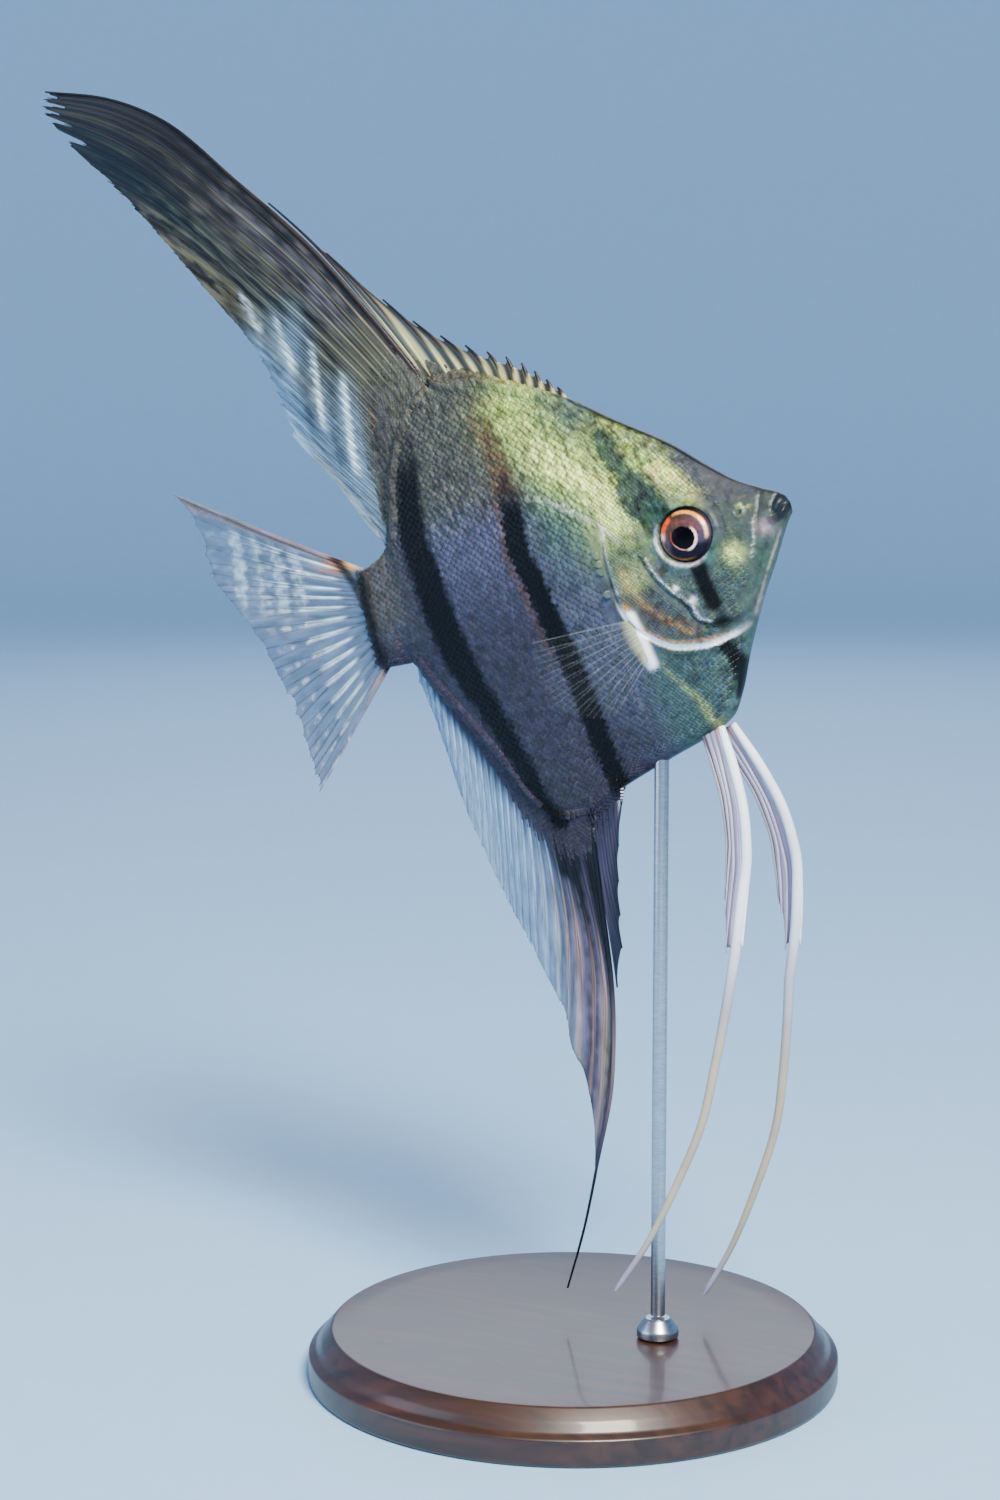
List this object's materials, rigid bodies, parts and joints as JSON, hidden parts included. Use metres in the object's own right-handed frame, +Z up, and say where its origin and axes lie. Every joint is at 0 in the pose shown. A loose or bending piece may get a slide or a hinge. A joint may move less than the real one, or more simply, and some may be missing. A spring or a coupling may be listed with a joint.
{
  "type": "freshwater angelfish",
  "caption": "Deep, flat freshwater angelfish swimming nose up, with tall swept fins and long pelvic feelers, held by a rod on a round base.",
  "frame": {"origin": "centre of the stand base's underside", "axes": "+X the way the fish faces, +Y its left side, +Z up"},
  "size_m": [0.1354, 0.082, 0.1983],
  "materials": {
    "skin": "wet, silvery green scaled skin with dark bars",
    "fin": "thin translucent rayed membrane, streaked and barred",
    "feeler": "white, smooth and slightly translucent",
    "eye": "wet, orange iris and black pupil",
    "base_wood": "dark walnut, satin",
    "rod_steel": "brushed"
  },
  "bodies": {
    "root": {"head": "skin", "lower_jaw": "skin", "gill_cover_right": "skin", "gill_cover_left": "skin", "trunk": "skin", "caudal_peduncle": "skin", "eye_right": "eye", "eye_left": "eye", "dorsal_fin_spiny": "fin", "dorsal_fin_soft": "fin", "anal_fin_spiny": "fin", "anal_fin_soft": "fin", "caudal_fin": "fin", "pectoral_fin_right": "fin", "pectoral_fin_left": "fin", "pelvic_fin_right": "feeler", "pelvic_fin_left": "feeler", "pelvic_feeler_right_upper": "feeler", "pelvic_feeler_right_lower": "feeler", "pelvic_feeler_left_upper": "feeler", "pelvic_feeler_left_lower": "feeler", "stand_base": "base_wood", "stand_collar": "rod_steel", "stand_rod": "rod_steel"}
  },
  "joints": []
}
